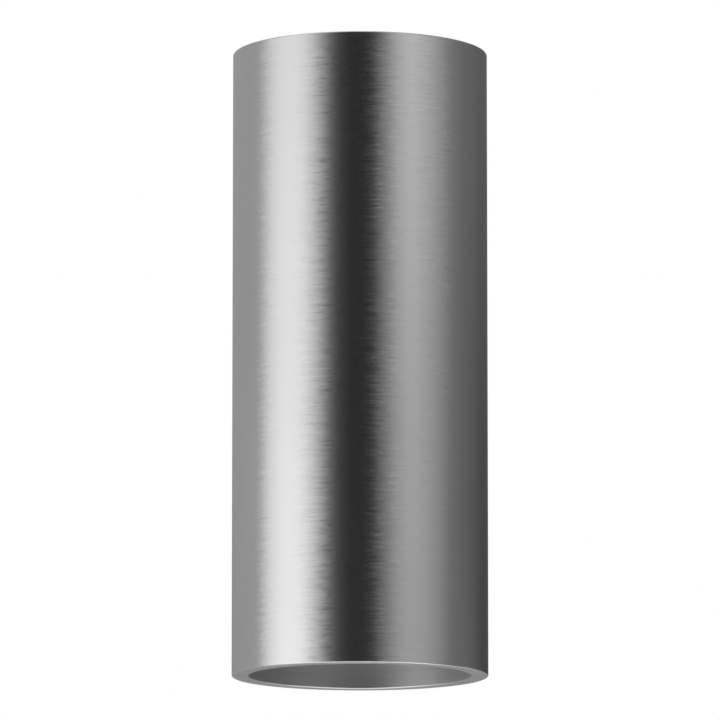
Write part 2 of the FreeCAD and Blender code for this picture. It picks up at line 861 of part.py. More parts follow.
def make_earth_stud():
    def stack_at(height):
        return (0, height - box_floor, -s.earth_down)

    stud = Piece("earth_stud", stack_at(0), "+Y")
    stud.rod(s.m4_thread / 2, s.earth_stud_length)
    stud.chamfer(s.edge_break, lying_at(Z, s.earth_stud_length))
    stud.keep()
    flat_ring("earth_washer", s.earth_washer_diameter / 2, m4_hole, s.earth_washer_height,
              stack_at(0), "+Y").keep()

    # The lug's own +Y points down, so its crimp is on its own -Y side, above the stud
    lug = Piece("earth_lug", stack_at(s.earth_washer_height), "+Y")
    crimp_radius = wire_radius + s.lug_sheet
    lug.rod(s.lug_diameter / 2, s.lug_sheet)
    lug.box((s.lug_neck_width, s.lug_crimp_start + s.lug_crimp_length, s.lug_sheet),
            (0, -(s.lug_crimp_start + s.lug_crimp_length) / 2, s.lug_sheet / 2))
    lug.rod(crimp_radius, s.lug_crimp_length, at=(0, -s.lug_crimp_start, crimp_radius), turn="-Y")
    lug.drill(wire_radius, s.lug_crimp_length, at=(0, -s.lug_crimp_start, crimp_radius), turn="-Y")
    lug.drill(m4_hole, s.lug_sheet)
    lug.keep()
    hexagon_nut("earth_nut", "m4", stack_at(s.earth_washer_height + s.lug_sheet), "+Y").keep()


# ---------------------------------------------------------------------------------------------------------
# Wires: straight runs joined by tangent arcs
# ---------------------------------------------------------------------------------------------------------
def wire_path(points, bend):
    """The path through the points as one wire of edges, each corner rounded to the bend's radius."""
    edges = []
    start = points[0]
    for before, corner, after in zip(points, points[1:], points[2:]):
        back = (before - corner).normalize()
        on = (after - corner).normalize()
        half_angle = back.getAngle(on) / 2
        reach = bend / math.tan(half_angle)
        middle = corner + (back + on).normalize() * (bend / math.sin(half_angle) - bend)
        edges.append(Part.LineSegment(start, corner + back * reach).toShape())
        edges.append(Part.Arc(corner + back * reach, middle, corner + on * reach).toShape())
        start = corner + on * reach
    edges.append(Part.LineSegment(start, points[-1]).toShape())
    return Part.Wire(edges)


def make_wire(name, places):
    points = [Vector(*[value_of(a) for a in place_now]) for place_now in places]
    path = wire_path(points, s.wire_bend.value)
    round_section = Part.Wire(Part.Circle(points[0], points[1] - points[0], wire_radius.value).toShape())
    wire = doc.addObject("Part::Feature", name)
    wire.Shape = path.makePipeShell([round_section], True, False)
    wire.Label = name
    plain_volume = math.pi * wire_radius.value ** 2 * path.Length
    print(f"{name}: {path.Length:.1f} mm long, {wire.Shape.Volume / plain_volume:.4f} of section by length")
    NODES.append(wire)


def make_lamp_wire(end, pole):
    """A wire from a lampholder's crimp, through the bush and up to its pole of the terminal block."""
    side = 1 if end == "lower" else -1
    pole_side = POLES[pole]
    across = pole_side * s.wire_side
    into_wall = side * pole_side * crimp_side
    level = -side * s.wire_level
    crimp = spot(end, side * across, into_wall, crimp_end - s.wire_in_crimp)
    turn_up_out = pole_centre - side * (wire_radius + s.wire_pair_gap / 2)
    past_bush = -box_floor + s.wire_past_bush
    make_wire(f"{pole}_wire_{end}", [
        crimp,
        (across, into_wall - axis_out, level),
        (across, past_bush, level),
        (pole_at(pole), -turn_up_out, level),
        (pole_at(pole), -turn_up_out, block_bottom + s.wire_in_clamp),
    ])


def make_earth_wire():
    crimp_out = box_floor - s.earth_washer_height - s.lug_sheet - wire_radius
    crimp_top = s.lug_crimp_start + s.lug_crimp_length - s.earth_down
    make_wire("earth_wire", [
        (0, -crimp_out, crimp_top - s.wire_in_crimp),
        (0, -crimp_out, crimp_top + s.earth_wire_rise),
        (0, -pole_centre, crimp_top + s.earth_wire_rise + s.earth_wire_slope),
        (0, -pole_centre, block_bottom + s.wire_in_clamp),
    ])


# ---------------------------------------------------------------------------------------------------------
# One end of the tube. A piece's own z there is the depth into the tube, from the rim or from its own face.
# ---------------------------------------------------------------------------------------------------------
def make_shelf(end):
    """The bent bracket that carries a lampholder: a leg against the bore, and a shelf across the tube."""
    shelf = Piece(f"shelf_{end}", spot(end, 0, 0, 0), end)
    reach = leg_back + s.shelf_reach
    shelf.box((s.shelf_width, reach, s.shelf_sheet),
              (0, leg_back - reach / 2, shelf_inside - s.shelf_sheet / 2))
    shelf.fillet(s.shelf_corner, both(along(Z), lying_at(Y, -s.shelf_reach)))
    leg = shelf_inside - s.shelf_leg_end
    shelf.box((s.shelf_width, s.shelf_sheet, leg), (0, leg_back - s.shelf_sheet / 2, shelf_inside - leg / 2))
    shelf.drill(s.shelf_wire_hole / 2, s.shelf_sheet, at=(0, 0, holder_back))
    for side in (1, -1):
        shelf.drill(m3_hole, s.shelf_sheet, at=(0, side * s.holder_screw_spacing / 2, holder_back))
    shelf.drill(m4_hole, s.shelf_sheet, at=(0, leg_front, half_tube - s.body_screw_spacing / 2), turn="+Y")
    shelf.keep()


def pin_way(width):
    """The way that a pin turns along, as outline points: a curved slot from where it enters to where it
    locks, with round ends."""
    middle, half = s.pin_spacing / 2, width / 2
    outer, inner = middle + half, middle - half
    cos, sin = cosine(s.lock_angle), sine(s.lock_angle)
    return [
        (outer * cos, -outer * sin, half),
        (outer, 0, outer),
        (middle, half, half),
        (inner, 0, half),
        (inner * cos, -inner * sin, -inner),
        (middle * cos - half * sin, -middle * sin - half * cos, half),
    ]


def make_holder(end):
    """A ceramic twist-lock lampholder, with its face towards the lamp."""
    holder = Piece(f"holder_{end}", spot(end, 0, 0, 0), end)
    holder.pad("XY_Plane", rounded_rectangle(s.holder_width, s.holder_length, s.holder_corner),
               s.holder_height, out=holder_face)
    holder.chamfer(s.edge_break, lying_at(Z, holder_face))
    stem_way = s.pin_stem + 2 * s.pin_play
    entry = (s.pin_spacing / 2 * cosine(s.lock_angle), -s.pin_spacing / 2 * sine(s.lock_angle), holder_face)
    holder.pocket("XY_Plane", pin_way(stem_way), s.holder_lip, out=holder_face)
    well = pin_way(s.pin_head + 2 * s.pin_well_play)
    holder.pocket("XY_Plane", well, s.holder_well, out=holder_face + s.holder_lip)
    holder.drill(s.pin_head / 2 + s.pin_play, s.holder_lip, at=entry)
    holder.repeat(2, features=3)
    slot_depth = s.holder_height - s.holder_lip
    slot = (s.contact_width + 2 * s.contact_play, s.contact_sheet + 2 * s.contact_play, slot_depth)
    holder.cut_box(slot, (s.wire_side, contact_front + s.contact_sheet / 2, holder_back - slot_depth / 2))
    holder.drill(s.crimp_diameter / 2 + s.contact_play, holder_back - crimp_start,
                 at=(s.wire_side, crimp_side, crimp_start))
    holder.repeat(2, features=2)
    for side in (1, -1):
        across = side * s.holder_screw_spacing / 2
        holder.drill(m3_hole, s.holder_height, at=(0, across, holder_face))
        holder.drill(s.m3_head / 2 + s.holder_sink_play, s.holder_screw_sink, at=(0, across, holder_face))
    holder.keep()


def make_contacts(end):
    """The sprung strips that the locked pins press on, each with the crimp that holds its wire."""
    contacts = []
    for spin in (0, FULL_TURN / 2):
        contact = Piece("contact", spot(end, 0, 0, 0), end, spin)
        strip = crimp_end - holder_face - s.holder_lip
        contact.box((s.contact_width, s.contact_sheet, strip),
                    (s.wire_side, contact_front + s.contact_sheet / 2, crimp_end - strip / 2))
        crimp = (s.wire_side, crimp_side, crimp_start)
        contact.rod(s.crimp_diameter / 2, s.crimp_length, at=crimp)
        contact.drill(wire_radius, s.crimp_length, at=crimp)
        contacts.append(contact)
    keep_together(f"holder_contacts_{end}", contacts)


def make_holder_fixings(end):
    screws, nuts = [], []
    seat_depth = holder_face + s.holder_screw_sink
    length = shelf_inside + s.m3_nut_height + s.m3_past_nut - seat_depth
    for side in (1, -1):
        across = side * s.holder_screw_spacing / 2
        screws.append(socket_screw("holder_screw", "m3", length, spot(end, 0, across, seat_depth), end))
        nuts.append(hexagon_nut("holder_nut", "m3", spot(end, 0, across, shelf_inside), end))
    keep_together(f"holder_screws_{end}", screws)
    keep_together(f"holder_nuts_{end}", nuts)


def make_seat_ring(end):
    """The ring fixed in the bore: threaded for the retaining ring, with a shoulder for the gasket."""
    seat = Piece(f"seat_ring_{end}", spot(end, 0, 0, 0), end)
    seat.turned([
        (thread_radius, s.ring_recess),
        (bore_radius, s.ring_recess),
        (bore_radius, seat_end),
        (seat_eye, seat_end),
        (seat_eye, seat_shoulder),
        (thread_radius, seat_shoulder),
    ])
    seat.keep()


def make_retaining_ring(end):
    """The screwed ring that clamps the glass, with notches for a pin spanner."""
    ring = Piece(f"retaining_ring_{end}", spot(end, 0, 0, s.ring_recess), end)
    ring.turned([
        (ring_eye + s.ring_eye_bevel, 0),
        (ring_radius, 0),
        (ring_radius, s.ring_height),
        (ring_eye, s.ring_height),
        (ring_eye, s.ring_eye_bevel),
    ])
    ring.cut_box((ring_radius, s.ring_notch_width, s.ring_notch_depth),
                 ((ring_radius + ring_eye) / 2, 0, s.ring_notch_depth / 2))
    ring.repeat(s.ring_notch_count)
    ring.keep()


def make_glass(end):
    glass = Piece(f"glass_{end}", spot(end, 0, 0, gasket_start + s.gasket_lip), end)
    glass.rod(glass_radius, s.glass_height)
    glass.chamfer(s.edge_break, lying_at(Z, 0, s.glass_height))
    glass.keep()


def make_glass_gasket(end):
    """The rubber channel round the glass's edge."""
    gasket = Piece(f"glass_gasket_{end}", spot(end, 0, 0, gasket_start), end)
    lip = glass_radius - s.gasket_lip_width
    far = s.glass_height + s.gasket_lip
    gasket.turned([
        (lip, 0),
        (gasket_radius, 0),
        (gasket_radius, far + s.gasket_lip),
        (lip, far + s.gasket_lip),
        (lip, far),
        (glass_radius, far),
        (glass_radius, s.gasket_lip),
        (lip, s.gasket_lip),
    ])
    gasket.keep()


def make_lamp(end):
    """A reflector lamp with two headed pins, each piece measured from the lamp's own face."""
    face = spot(end, 0, 0, lamp_face)
    neck_at = s.lamp_height - s.lamp_base_height
    driver_start = s.reflector_depth + s.lamp_floor

    shell = Piece(f"lamp_shell_{end}", face, end)
    shell.turned([
        (lens_radius, 0),
        (s.lamp_diameter / 2, 0),
        (s.lamp_diameter / 2, s.lamp_rim_height),
        (s.lamp_neck / 2, neck_at, s.lamp_flare_radius),
        (s.lamp_driver_bore / 2, neck_at),
        (s.lamp_driver_bore / 2, driver_start),
        (0, driver_start),
        (0, s.reflector_depth),
        (s.led_board_diameter / 2 + s.led_board_margin, s.reflector_depth),
        (lens_radius, s.lens_inset + s.lens_height),
    ])
    shell.keep()

    lens = Piece(f"lamp_lens_{end}", face, end)
    lens.rod(lens_radius, s.lens_height, at=(0, 0, s.lens_inset))
    lens.keep()

    board = Piece(f"lamp_led_board_{end}", face, end)
    board.rod(s.led_board_diameter / 2, s.led_board_height, at=(0, 0, s.reflector_depth - s.led_board_height))
    board.keep()

    base = Piece(f"lamp_base_{end}", face, end)
    base.rod(s.lamp_driver_bore / 2, s.lamp_base_plug, at=(0, 0, neck_at - s.lamp_base_plug))
    base.rod(s.lamp_base_diameter / 2, s.lamp_base_height, at=(0, 0, neck_at))
    base.chamfer(s.edge_break, lying_at(Z, s.lamp_height))
    for side in (1, -1):
        root_at = (side * s.pin_spacing / 2, 0, s.lamp_height - s.pin_root)
        base.drill(s.pin_stem / 2, s.pin_root, at=root_at)
    base.keep()

    pins = []
    for side in (1, -1):
        across = side * s.pin_spacing / 2
        pin = Piece("pin", spot(end, across, 0, lamp_face + s.lamp_height), end)
        pin.rod(s.pin_stem / 2, s.pin_root + s.pin_length, at=(0, 0, -s.pin_root))
        pin.rod(s.pin_head / 2, s.pin_head_height, at=(0, 0, s.pin_length - s.pin_head_height))
        pin.chamfer(s.edge_break, lying_at(Z, s.pin_length))
        pins.append(pin)
    keep_together(f"lamp_pins_{end}", pins)


# ---------------------------------------------------------------------------------------------------------
# The whole light
# ---------------------------------------------------------------------------------------------------------
make_tube()
make_saddle()
make_saddle_seals()
make_wall_box()
make_wall_seal()
make_wall_bracket()
make_side_fixings()
make_body_fixings()
make_bushes()
make_terminal_block()
make_terminal_clamps()
make_terminal_screws()
make_block_fixings()
make_earth_stud()
make_earth_wire()
for tube_end in ("lower", "upper"):
    make_shelf(tube_end)
    make_holder(tube_end)
    make_contacts(tube_end)
    make_holder_fixings(tube_end)
    make_lamp_wire(tube_end, "live")
    make_lamp_wire(tube_end, "neutral")
    make_seat_ring(tube_end)
    make_retaining_ring(tube_end)
    make_glass(tube_end)
    make_glass_gasket(tube_end)
    make_lamp(tube_end)
doc.recompute()

failed = [thing.Name for thing in doc.Objects if {"Invalid", "Error"} & set(thing.State)]
failed += [node.Label for node in NODES if node.Shape.isNull() or not node.Shape.isValid()]
if failed:
    raise RuntimeError("Failed: " + ", ".join(failed))

os.makedirs("parts", exist_ok=True)
for node in NODES:
    node.Shape.exportStep(f"parts/{node.Label}.step")
print(f"{len(NODES)} nodes written")
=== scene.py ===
"""Looks of the tube wall light, dressed over its solids. Everything is in metres, in the solids' own frame."""

import json
import math

import bmesh
import bpy
from mathutils import Matrix, Vector


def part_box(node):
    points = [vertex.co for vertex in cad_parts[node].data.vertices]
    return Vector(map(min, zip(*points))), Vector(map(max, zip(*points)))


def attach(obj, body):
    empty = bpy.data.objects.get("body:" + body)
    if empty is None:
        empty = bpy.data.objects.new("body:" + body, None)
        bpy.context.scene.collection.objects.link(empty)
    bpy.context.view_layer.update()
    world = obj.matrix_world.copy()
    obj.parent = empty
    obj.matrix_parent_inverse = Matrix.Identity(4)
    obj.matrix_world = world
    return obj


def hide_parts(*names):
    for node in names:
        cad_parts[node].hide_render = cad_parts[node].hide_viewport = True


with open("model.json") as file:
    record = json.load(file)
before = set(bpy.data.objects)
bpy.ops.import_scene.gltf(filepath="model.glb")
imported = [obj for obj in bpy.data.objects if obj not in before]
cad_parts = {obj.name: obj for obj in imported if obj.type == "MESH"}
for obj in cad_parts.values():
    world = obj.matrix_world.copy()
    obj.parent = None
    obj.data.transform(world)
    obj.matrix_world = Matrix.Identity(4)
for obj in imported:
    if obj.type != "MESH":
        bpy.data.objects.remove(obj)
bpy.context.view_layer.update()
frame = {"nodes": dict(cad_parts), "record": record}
slot_of = {entry["node"]: entry["material_slot"] for entry in frame["record"]["subparts"]}

# Which way each end of the light faces along z
ENDS = {"lower": -1, "upper": 1}
# The tube's axis stands at this y, at x = 0
AXIS_Y = sum(corner.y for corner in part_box("lamp_shell_lower")) / 2
WHITE = (1, 1, 1, 1)
# The sockets of a Mix node that are for colours: its factor and both colours, and the result
MIX_INPUTS = (0, 6, 7)
MIX_OUTPUT = 2


# ---------------------------------------------------------------------------------------------------------
# Materials
# ---------------------------------------------------------------------------------------------------------
class Tree:
    """A node tree, with short words for the nodes that are wanted most."""

    def __init__(self, tree):
        self.tree = tree

    def node(self, kind, inputs=None, **settings):
        made = self.tree.nodes.new("ShaderNode" + kind)
        for name, value in settings.items():
            setattr(made, name, value)
        for name, value in (inputs or {}).items():
            self.feed(made.inputs[name], value)
        return made

    def feed(self, socket, value):
        if isinstance(value, bpy.types.NodeSocket):
            self.tree.links.new(value, socket)
        else:
            socket.default_value = value

    def maths(self, first, second, operation="ADD"):
        return self.node("Math", {0: first, 1: second}, operation=operation).outputs[0]

    def span(self, factor, low, high, start=0.0, end=1.0, curve="LINEAR"):
        """Maps start..end of the factor to low..high."""
        inputs = {"Value": factor, "From Min": start, "From Max": end, "To Min": low, "To Max": high}
        return self.node("MapRange", inputs, interpolation_type=curve).outputs["Result"]

    def seen(self):
        """1 for rays from the camera and for reflected and refracted ones, 0 for the rest."""
        path = self.node("LightPath").outputs
        most = self.maths(path["Is Camera Ray"], path["Is Glossy Ray"], "MAXIMUM")
        return self.maths(most, path["Is Transmission Ray"], "MAXIMUM")


class Look(Tree):
    """A material of one Principled shader, with the nodes that drive it."""

    def __init__(self, name, **values):
        """Each value is an input of the shader, with _ for a space in its name."""
        self.name = name
        self.material = bpy.data.materials.new(name)
        self.material.use_nodes = True
        super().__init__(self.material.node_tree)
        self.shader = self.tree.nodes["Principled BSDF"]
        self.output = self.tree.nodes["Material Output"]
        for socket, value in values.items():
            self.shader.inputs[socket.replace("_", " ")].default_value = value
        self.normal = None

    def place(self, scale=(1, 1, 1)):
        """The place on the light, in the solids' frame, scaled."""
        where = self.node("TexCoord").outputs["Object"]
        return self.node("Mapping", {"Vector": where, "Scale": scale}).outputs["Vector"]

    def along(self, axis):
        """The place along one axis, X, Y or Z."""
        return self.node("SeparateXYZ", {"Vector": self.place()}).outputs[axis]

    def off_axis(self, y):
        """The squared distance from the upright line at x = 0 and that y."""
        away = self.maths(self.along("Y"), y, "SUBTRACT")
        return self.maths(self.maths(self.along("X"), 2.0, "POWER"), self.maths(away, 2.0, "POWER"))

    def noise(self, scale, detail=3.0, rough=0.5):
        """Noise of about that many features a metre, or so many along each of x, y and z."""
        scale = scale if isinstance(scale, tuple) else (scale,) * 3
        inputs = {"Vector": self.place(scale), "Scale": 1.0, "Detail": detail, "Roughness": rough}
        return self.node("TexNoise", inputs).outputs["Fac"]

    def cells(self, scale):
        """The distance to the nearest of so many points a metre."""
        return self.node("TexVoronoi", {"Vector": self.place((scale,) * 3), "Scale": 1.0}).outputs["Distance"]

    def blend(self, factor, first, second):
        """One colour blended into another as the factor goes from 0 to 1."""
        mixed = self.node("Mix", data_type="RGBA")
        for socket, value in zip(MIX_INPUTS, (factor, first, second)):
            self.feed(mixed.inputs[socket], value)
        return mixed.outputs[MIX_OUTPUT]

    def ramp(self, factor, stops, curve="LINEAR"):
        """The colour at the factor, among stops that each have a place from 0 to 1 and a colour."""
        made = self.node("ValToRGB", {"Fac": factor})
        made.color_ramp.interpolation = curve
        elements = made.color_ramp.elements
        while len(elements) < len(stops):
            elements.new(0.5)
        for element, (place, colour) in zip(elements, stops):
            element.position = place
            element.color = (*colour, 1)
        return made.outputs["Color"]

    def colour(self, factor, *colours, start=0.3, end=0.7):
        """Colours from first to last as the factor goes from start to end."""
        stops = [(i / (len(colours) - 1), colour) for i, colour in enumerate(colours)]
        self.feed(self.shader.inputs["Base Color"], self.ramp(self.span(factor, 0.0, 1.0, start, end), stops))
        return self

    def gloss(self, factor, low, high, start=0.3, end=0.7):
        """Roughness from low to high as the factor goes from start to end."""
        self.feed(self.shader.inputs["Roughness"], self.span(factor, low, high, start, end))
        return self

    def relief(self, height, depth, strength=1.0):
        """Adds relief of that depth, in metres, over what is there already."""
        inputs = {"Height": height, "Distance": depth, "Strength": strength}
        if self.normal:
            inputs["Normal"] = self.normal
        self.normal = self.node("Bump", inputs).outputs["Normal"]
        self.feed(self.shader.inputs["Normal"], self.normal)
        return self

    def tangent(self):
        """The direction round the z axis."""
        return self.node("Tangent", direction_type="RADIAL", axis="Z").outputs[0]

    def lean(self, factor, degrees, start=0.3, end=0.7):
        """Leans the surface sideways round the z axis, up to that far each way, as single hairlines do."""
        most = math.radians(degrees)
        inputs = {0: self.tangent(), "Scale": self.span(factor, -most, most, start, end)}
        push = self.node("VectorMath", inputs, operation="SCALE").outputs[0]
        flat = self.normal or self.node("NewGeometry").outputs["Normal"]
        leaning = self.node("VectorMath", {0: flat, 1: push}, operation="ADD").outputs[0]
        self.normal = self.node("VectorMath", {0: leaning}, operation="NORMALIZE").outputs[0]
        self.feed(self.shader.inputs["Normal"], self.normal)
        return self

    def grain(self, turned=True):
        """Stretches highlights across fine grooves, which run round the z axis, or along it if not turned."""
        self.feed(self.shader.inputs["Tangent"], self.tangent())
        if turned:
            self.shader.inputs["Anisotropic Rotation"].default_value = 0.25
        return self

    def shine(self, colour, strength):
        """Makes the surface a plain light."""
        glow = self.node("Emission", {"Color": colour, "Strength": strength})
        self.feed(self.output.inputs["Surface"], glow.outputs[0])


def grey(value, warm=0.0):
    return (value + warm, value, value - warm)


def shade(colour, factor):
    return tuple(min(1.0, c * factor) for c in colour)


def metal(name, base, rough):
    """Plain metal with a fine grain, faint clouding and slightly uneven gloss."""
    look = Look(name, Metallic=1.0, Roughness=rough)
    cloud = look.noise(120.0, detail=4.0)
    speck = look.noise(900.0, detail=2.0)
    look.colour(cloud, shade(base, 0.92), base, shade(base, 1.05))
    look.gloss(look.maths(speck, cloud, "MULTIPLY"), rough * 0.8, rough * 1.25, start=0.12, end=0.4)
    return look.relief(speck, 2e-6)


def tube_steel():
    """Thick stainless tube, brushed round its girth: streaks, a finer brushing, and sparse hairlines."""
    look = Look("tube_steel", Metallic=1.0, Roughness=0.36, Anisotropic=0.9)
    streak = look.noise((150.0, 150.0, 2600.0), rough=0.6)
    fine = look.noise((160.0, 160.0, 9000.0), detail=2.0, rough=0.6)
    cloud = look.noise((30.0, 30.0, 18.0), detail=2.0)
    spots = look.noise((300.0, 300.0, 2400.0), detail=1.5)
    hairline = look.span(spots, 0.0, 1.0, start=0.53, end=0.70, curve="SMOOTHSTEP")
    brushing = look.maths(streak, fine)
    look.colour(look.maths(brushing, cloud), grey(0.68), grey(0.715, -0.001), grey(0.75), start=1.1, end=1.9)
    look.gloss(streak, 0.31, 0.41, start=0.25, end=0.75)
    look.lean(streak, 1.2)
    look.lean(hairline, 1.5, start=-1.0, end=1.0)
    look.relief(brushing, 1.2e-6, strength=0.8)
    return look.grain()


def tube_bore():
    """The inside of the tube, as drawn: duller than the brushed outside."""
    look = Look("tube_bore", Metallic=1.0, Roughness=0.52, Anisotropic=0.35)
    streak = look.noise((40.0, 40.0, 1600.0), detail=4.0, rough=0.6)
    uneven = look.maths(streak, look.noise(60.0))
    look.colour(uneven, grey(0.48), grey(0.54), grey(0.60), start=0.7, end=1.3)
    look.gloss(streak, 0.48, 0.56)
    look.relief(streak, 3e-6, strength=0.8)
    return look.grain()


def box_steel():
    """Satin sheet, brushed lengthwise."""
    look = Look("box_steel", Metallic=1.0, Roughness=0.34, Anisotropic=0.7)
    streak = look.noise((2400.0, 2400.0, 60.0), detail=4.0, rough=0.6)
    uneven = look.maths(streak, look.noise(40.0))
    look.colour(uneven, grey(0.56), grey(0.62, 0.002), grey(0.68), start=0.7, end=1.3)
    look.gloss(streak, 0.28, 0.42)
    look.relief(streak, 2e-6, strength=0.8)
    return look.grain(turned=False)


def turned_ring(name, tone, rough, anisotropic=0.6):
    """A turned surface: grooves round the tube's axis, about 7 a millimetre on a face and 4 on a side."""
    look = Look(name, Metallic=1.0, Roughness=rough, Anisotropic=anisotropic)
    radius = look.maths(look.off_axis(AXIS_Y), 0.5, "POWER")
    at = look.node("CombineXYZ", {"X": look.maths(radius, 7000.0, "MULTIPLY"),
                                  "Y": look.maths(look.along("Z"), 4000.0, "MULTIPLY")}).outputs[0]
    groove = look.node("TexNoise", {"Vector": at, "Scale": 1.0, "Detail": 3.0}).outputs["Fac"]
    uneven = look.maths(groove, look.noise(90.0))
    look.colour(uneven, grey(tone * 0.9), grey(tone), grey(tone * 1.08), start=0.75, end=1.25)
    look.gloss(groove, rough * 0.8, rough * 1.3)
    look.relief(groove, 4e-6, strength=0.8)
    return look.grain()


def saddle_aluminium():
    """A fine bead-blasted casting."""
    look = Look("saddle_aluminium", Metallic=1.0, Roughness=0.52)
    pit = look.cells(2600.0)
    look.colour(look.noise(90.0, detail=4.0), grey(0.52), grey(0.58), grey(0.64))
    look.gloss(pit, 0.46, 0.62, start=0.1, end=0.8)
    return look.relief(pit, 2.2e-5, strength=0.55)


def rubber(name, tone, rough=0.62, warm=0.0, **values):
    """Matt moulded rubber: a fine skin, faint dust in its hollows."""
    look = Look(name, **{"Roughness": rough, "Specular_IOR_Level": 0.35, **values})
    skin = look.noise(1500.0, rough=0.6)
    dust = look.maths(look.noise(70.0, detail=4.0), skin, "MULTIPLY")
    tones = (tone * 0.8, tone, tone * 1.35 + 0.01)
    look.colour(dust, *(grey(value, warm) for value in tones), start=0.15, end=0.35)
    look.gloss(skin, rough * 0.88, min(1.0, rough * 1.15))
    return look.relief(skin, 1.2e-5, strength=0.6)


def zinc(name, tone, rough):
    """Bright zinc plate: a bluish cast, with soft patches of slightly different colour."""
    look = Look(name, Metallic=0.8, Roughness=rough)
    patch = look.noise(420.0, detail=4.0, rough=0.6)
    casts = ((0.94, 0.955, 0.98), (1.0, 1.01, 1.03), (1.04, 1.045, 1.05))
    look.colour(patch, *(shade(cast, tone) for cast in casts))
    look.gloss(patch, rough * 0.75, rough * 1.3)
    return look.relief(look.noise(1300.0), 5e-6, strength=0.6)


def plastic(name, colour, rough, depth=6e-6, **values):
    """Moulded plastic or silicone sleeve, with a fine skin and slightly uneven colour."""
    look = Look(name, Roughness=rough, **values)
    look.colour(look.noise(110.0, detail=4.0), shade(colour, 0.94), colour, shade(colour, 1.03))
    look.gloss(look.noise(800.0, detail=2.0), rough * 0.85, rough * 1.2)
    return look.relief(look.noise(1800.0), depth, strength=0.5)


def wire_green_yellow():
    """Green sleeve with yellow stripes along it."""
    look = plastic("wire_green_yellow", (0.10, 0.36, 0.08), 0.45)
    off_middle = look.maths(look.along("X"), 0.0, "ABSOLUTE")
    stripe = look.span(off_middle, 1.0, 0.0, start=0.00038, end=0.00048)
    base = look.shader.inputs["Base Color"]
    look.feed(base, look.blend(stripe, base.links[0].from_socket, (0.85, 0.68, 0.05, 1)))
    return look


def steatite():
    """Unglazed lampholder ceramic: chalky, with fine dark specks."""
    look = Look("steatite", Roughness=0.6, Subsurface_Weight=0.1, Subsurface_Scale=0.002,
                Subsurface_Radius=(1.0, 0.8, 0.6))
    body = look.noise(260.0, detail=5.0, rough=0.6)
    clay = look.ramp(body, ((0.0, (0.80, 0.775, 0.71)), (1.0, (0.90, 0.885, 0.84))))
    specks = look.span(look.cells(1100.0), 0.55, 0.0, start=0.05, end=0.16)
    look.feed(look.shader.inputs["Base Color"], look.blend(specks, clay, (0.52, 0.47, 0.40, 1)))
    look.gloss(body, 0.5, 0.7)
    return look.relief(look.noise(1500.0, detail=4.0), 1.6e-5, strength=0.6)


def clear_glass():
    """Clear toughened glass, faintly green, with a trace of dust."""
    look = Look("clear_glass", IOR=1.52, Transmission_Weight=1.0, Roughness=0.0)
    dust = look.noise(420.0, detail=5.0, rough=0.7)
    look.colour(dust, (0.955, 0.985, 0.97), (0.975, 0.995, 0.985))
    return look.gloss(dust, 0.0, 0.03, start=0.62, end=0.85)


def lamp_lens():
    """Moulded lens of clear plastic, slightly frosted."""
    look = Look("lamp_lens", IOR=1.49, Transmission_Weight=0.93, Roughness=0.1)
    haze = look.noise(900.0)
    look.colour(haze, (0.93, 0.94, 0.93), (0.98, 0.98, 0.97))
    return look.gloss(haze, 0.05, 0.16)


def led_board():
    """White solder mask with its tracks just showing."""
    look = Look("led_board", Roughness=0.42)
    track = look.node("TexBrick", {"Vector": look.place((300.0, 300.0, 1.0)), "Scale": 1.0,
                                   "Mortar Size": 0.06, "Color1": (0.90, 0.90, 0.87, 1),
                                   "Color2": (0.87, 0.875, 0.85, 1), "Mortar": (0.72, 0.74, 0.70, 1)})
    look.feed(look.shader.inputs["Base Color"], track.outputs["Color"])
    look.gloss(look.noise(700.0, detail=2.0), 0.35, 0.5)
    return look.relief(track.outputs["Fac"], 1e-5, strength=0.6)


def phosphor():
    """The yellow gel on an emitter."""
    look = Look("phosphor", Roughness=0.3, Subsurface_Weight=0.25, Subsurface_Scale=0.0006)
    look.colour(look.noise(3000.0), (0.86, 0.62, 0.06), (0.93, 0.74, 0.12))
    return look.relief(look.noise(2400.0, detail=2.0), 8e-6, strength=0.5)


# One look for each material slot of the solids
LOOKS = {look.name: look for look in (
    tube_steel(),
    box_steel(),
    saddle_aluminium(),
    rubber("seal_silicone", 0.045),
    rubber("gasket_silicone", 0.5, 0.5, 0.01, Transmission_Weight=0.35),
    rubber("bush_rubber", 0.03, 0.55),
    zinc("bracket_zinc", 0.66, 0.42),
    metal("stainless_screw", grey(0.60), 0.26),
    zinc("zinc_screw", 0.66, 0.28),
    plastic("block_nylon", (0.84, 0.82, 0.76), 0.42, Subsurface_Weight=0.3, Subsurface_Scale=0.002),
    metal("brass_plain", (0.78, 0.58, 0.27), 0.27),
    metal("tinned_copper", grey(0.70, 0.015), 0.3),
    plastic("wire_brown", (0.20, 0.085, 0.035), 0.46),
    plastic("wire_blue", (0.05, 0.17, 0.52), 0.46),
    wire_green_yellow(),
    steatite(),
    turned_ring("ring_stainless", 0.60, 0.3),
    turned_ring("ring_aluminium", 0.56, 0.36),
    clear_glass(),
    lamp_lens(),
    plastic("lamp_body", (0.83, 0.83, 0.82), 0.5, depth=1.4e-5),
    plastic("lamp_base", (0.86, 0.86, 0.84), 0.3),
    metal("lamp_pin", grey(0.66, 0.01), 0.24),
    led_board(),
)}

for name, node in frame["nodes"].items():
    node.data.materials.clear()
    node.data.materials.append(LOOKS[slot_of[name]].material)


# ---------------------------------------------------------------------------------------------------------
# Pieces that stand for plain solids
# ---------------------------------------------------------------------------------------------------------
# Edges over this angle stay sharp
SHARP = math.radians(30)


def shift(x, y, z):
    return Matrix.Translation((x, y, z))


def spin(degrees, axis):
    return Matrix.Rotation(math.radians(degrees), 4, axis)


def add_object(name, data):
    made = bpy.data.objects.new(name, data)
    bpy.context.scene.collection.objects.link(made)
    return made


